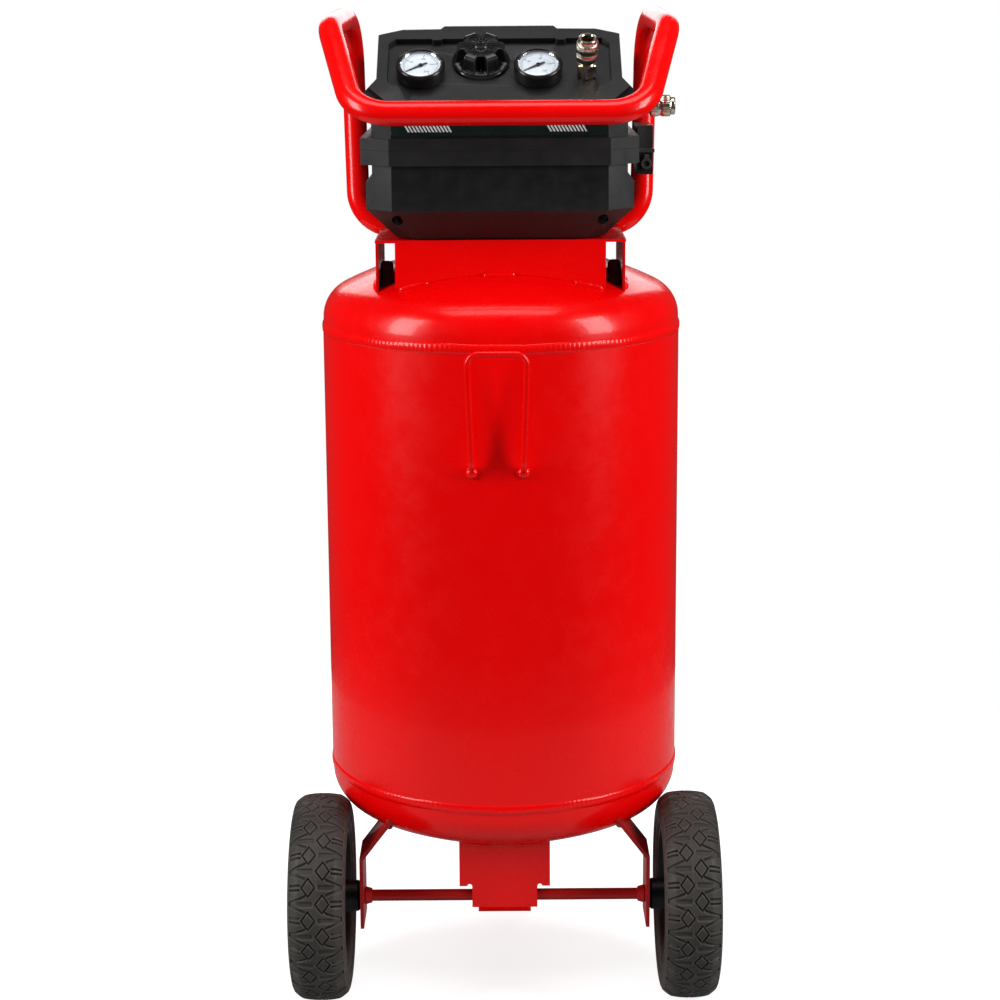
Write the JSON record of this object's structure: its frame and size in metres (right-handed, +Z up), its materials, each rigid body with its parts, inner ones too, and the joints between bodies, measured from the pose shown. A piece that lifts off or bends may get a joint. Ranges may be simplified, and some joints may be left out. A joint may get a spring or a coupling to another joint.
{
  "type": "portable air compressor",
  "caption": "Vertical air tank on two wheels and a rear foot, with an electric pump in a shroud on top, a gauge panel, quick couplers, a push handle and a hose hook.",
  "frame": {"origin": "on the ground, under the middle of the machine's bounding box", "axes": "+Z up, -Y towards the front with the gauge panel, +X to the right of someone who faces the panel"},
  "size_m": [0.468, 0.4296, 1.085],
  "materials": {
    "tank_shell": "gloss",
    "tank_top_head": "gloss",
    "tank_bottom_head": "gloss",
    "seam_welds": "gloss",
    "saddle_bracket": "gloss",
    "handle_tube": "gloss",
    "hose_hook": "gloss",
    "strut_left": "satin",
    "strut_right": "satin",
    "axle_rod": "satin",
    "axle_bracket": "gloss",
    "axle_caps": "satin",
    "foot_bracket": "gloss",
    "rubber_mounts": "matte",
    "shroud_bolts": "satin",
    "tyre_left": "matte",
    "tyre_right": "matte",
    "rim_left": "satin",
    "rim_right": "satin",
    "lower_shroud": "textured",
    "upper_shroud": "textured",
    "label_strip": "gloss",
    "regulator_body": "machined",
    "regulator_knob": "gloss",
    "manifold": "cast",
    "coupler_front_body": "nickel plated",
    "coupler_front_sleeve": "nickel plated",
    "coupler_side_body": "nickel plated",
    "coupler_side_sleeve": "nickel plated",
    "pressure_switch": "satin",
    "switch_lever": "gloss",
    "cord_gland": "matte",
    "tank_bungs": "gloss",
    "check_valve": "machined",
    "safety_valve": "machined",
    "safety_ring": "bright",
    "drain_valve": "machined",
    "drain_handle": "gloss",
    "discharge_tube": "bare",
    "riser_pipe": "bare",
    "motor_base": "satin",
    "motor_stator": "varnished",
    "motor_shaft": "ground",
    "motor_rotor": "cast",
    "cooling_fan": "satin",
    "capacitor": "satin",
    "crankcase": "cast",
    "pump_cylinder": "cast",
    "valve_plate": "satin",
    "cylinder_head": "cast",
    "piston": "machined",
    "intake_filter": "satin",
    "gauge_left_case": "gloss",
    "gauge_left_dial": "satin",
    "gauge_left_lens": "clear",
    "gauge_left_needle": "satin",
    "gauge_right_case": "gloss",
    "gauge_right_dial": "satin",
    "gauge_right_lens": "clear",
    "gauge_right_needle": "satin"
  },
  "bodies": {
    "machine": {"tank_shell": "tank_shell", "tank_top_head": "tank_top_head", "tank_bottom_head": "tank_bottom_head", "seam_welds": "seam_welds", "saddle_bracket": "saddle_bracket", "handle_tube": "handle_tube", "hose_hook": "hose_hook", "strut_left": "strut_left", "strut_right": "strut_right", "axle_rod": "axle_rod", "axle_bracket": "axle_bracket", "axle_caps": "axle_caps", "foot_bracket": "foot_bracket", "rubber_mounts": "rubber_mounts", "shroud_bolts": "shroud_bolts", "lower_shroud": "lower_shroud", "upper_shroud": "upper_shroud", "label_strip": "label_strip", "regulator_body": "regulator_body", "manifold": "manifold", "coupler_front_body": "coupler_front_body", "coupler_side_body": "coupler_side_body", "pressure_switch": "pressure_switch", "cord_gland": "cord_gland", "tank_bungs": "tank_bungs", "check_valve": "check_valve", "safety_valve": "safety_valve", "drain_valve": "drain_valve", "discharge_tube": "discharge_tube", "riser_pipe": "riser_pipe", "motor_base": "motor_base", "motor_stator": "motor_stator", "capacitor": "capacitor", "crankcase": "crankcase", "pump_cylinder": "pump_cylinder", "valve_plate": "valve_plate", "cylinder_head": "cylinder_head", "intake_filter": "intake_filter", "gauge_left_case": "gauge_left_case", "gauge_left_dial": "gauge_left_dial", "gauge_left_lens": "gauge_left_lens", "gauge_right_case": "gauge_right_case", "gauge_right_dial": "gauge_right_dial", "gauge_right_lens": "gauge_right_lens"},
    "wheel_left": {"tyre_left": "tyre_left", "rim_left": "rim_left"},
    "wheel_right": {"tyre_right": "tyre_right", "rim_right": "rim_right"},
    "knob": {"regulator_knob": "regulator_knob"},
    "needle_left": {"gauge_left_needle": "gauge_left_needle"},
    "needle_right": {"gauge_right_needle": "gauge_right_needle"},
    "sleeve_front": {"coupler_front_sleeve": "coupler_front_sleeve"},
    "sleeve_side": {"coupler_side_sleeve": "coupler_side_sleeve"},
    "lever": {"switch_lever": "switch_lever"},
    "relief_ring": {"safety_ring": "safety_ring"},
    "drain_lever": {"drain_handle": "drain_handle"},
    "rotor": {"motor_shaft": "motor_shaft", "motor_rotor": "motor_rotor", "cooling_fan": "cooling_fan"},
    "piston": {"piston": "piston"}
  },
  "joints": [
    {"name": "wheel_left_spin", "type": "hinge", "parent": "machine", "child": "wheel_left", "pos_m": [-0.203, -0.1013, 0.1135], "axis": [1, 0, 0], "continuous": true},
    {"name": "wheel_right_spin", "type": "hinge", "parent": "machine", "child": "wheel_right", "pos_m": [0.203, -0.1013, 0.1135], "axis": [1, 0, 0], "continuous": true},
    {"name": "regulator_turn", "type": "hinge", "parent": "machine", "child": "knob", "pos_m": [-0.019, -0.07044, 1.03299], "axis": [0, -0.582, 0.8132], "range_deg": [-540, 540]},
    {"name": "tank_gauge_needle", "type": "hinge", "parent": "machine", "child": "needle_left", "pos_m": [-0.0817, -0.09056, 1.02622], "axis": [0, 0.582, -0.8132], "range_deg": [0, 270], "stiffness_Nm_per_rad": 0.0001},
    {"name": "outlet_gauge_needle", "type": "hinge", "parent": "machine", "child": "needle_right", "pos_m": [0.0406, -0.09056, 1.02622], "axis": [0, 0.582, -0.8132], "range_deg": [0, 270], "stiffness_Nm_per_rad": 0.0001},
    {"name": "coupler_front_slide", "type": "slide", "parent": "machine", "child": "sleeve_front", "axis": [0, 0.582, -0.8132], "range_m": [0, 0.0035], "stiffness_N_per_m": 400, "springref_m": -0.002},
    {"name": "coupler_side_slide", "type": "slide", "parent": "machine", "child": "sleeve_side", "axis": [-1, 0, 0], "range_m": [0, 0.0035], "stiffness_N_per_m": 400, "springref_m": -0.002},
    {"name": "switch_turn", "type": "hinge", "parent": "machine", "child": "lever", "pos_m": [0.159, -0.0073, 0.917], "axis": [0, -1, 0], "range_deg": [-40, 40]},
    {"name": "relief_pull", "type": "slide", "parent": "machine", "child": "relief_ring", "axis": [0, 0, 1], "range_m": [0, 0.003], "stiffness_N_per_m": 500, "springref_m": -0.002},
    {"name": "drain_turn", "type": "hinge", "parent": "machine", "child": "drain_lever", "pos_m": [0.016, 0.0667, 0.14076], "axis": [1, 0, 0], "range_deg": [-90, 0]},
    {"name": "motor_spin", "type": "hinge", "parent": "machine", "child": "rotor", "pos_m": [0.03, 0.0167, 0.93], "axis": [1, 0, 0], "continuous": true},
    {"name": "piston_stroke", "type": "slide", "parent": "machine", "child": "piston", "axis": [0, 0, 1], "range_m": [-0.009, 0.009]}
  ]
}
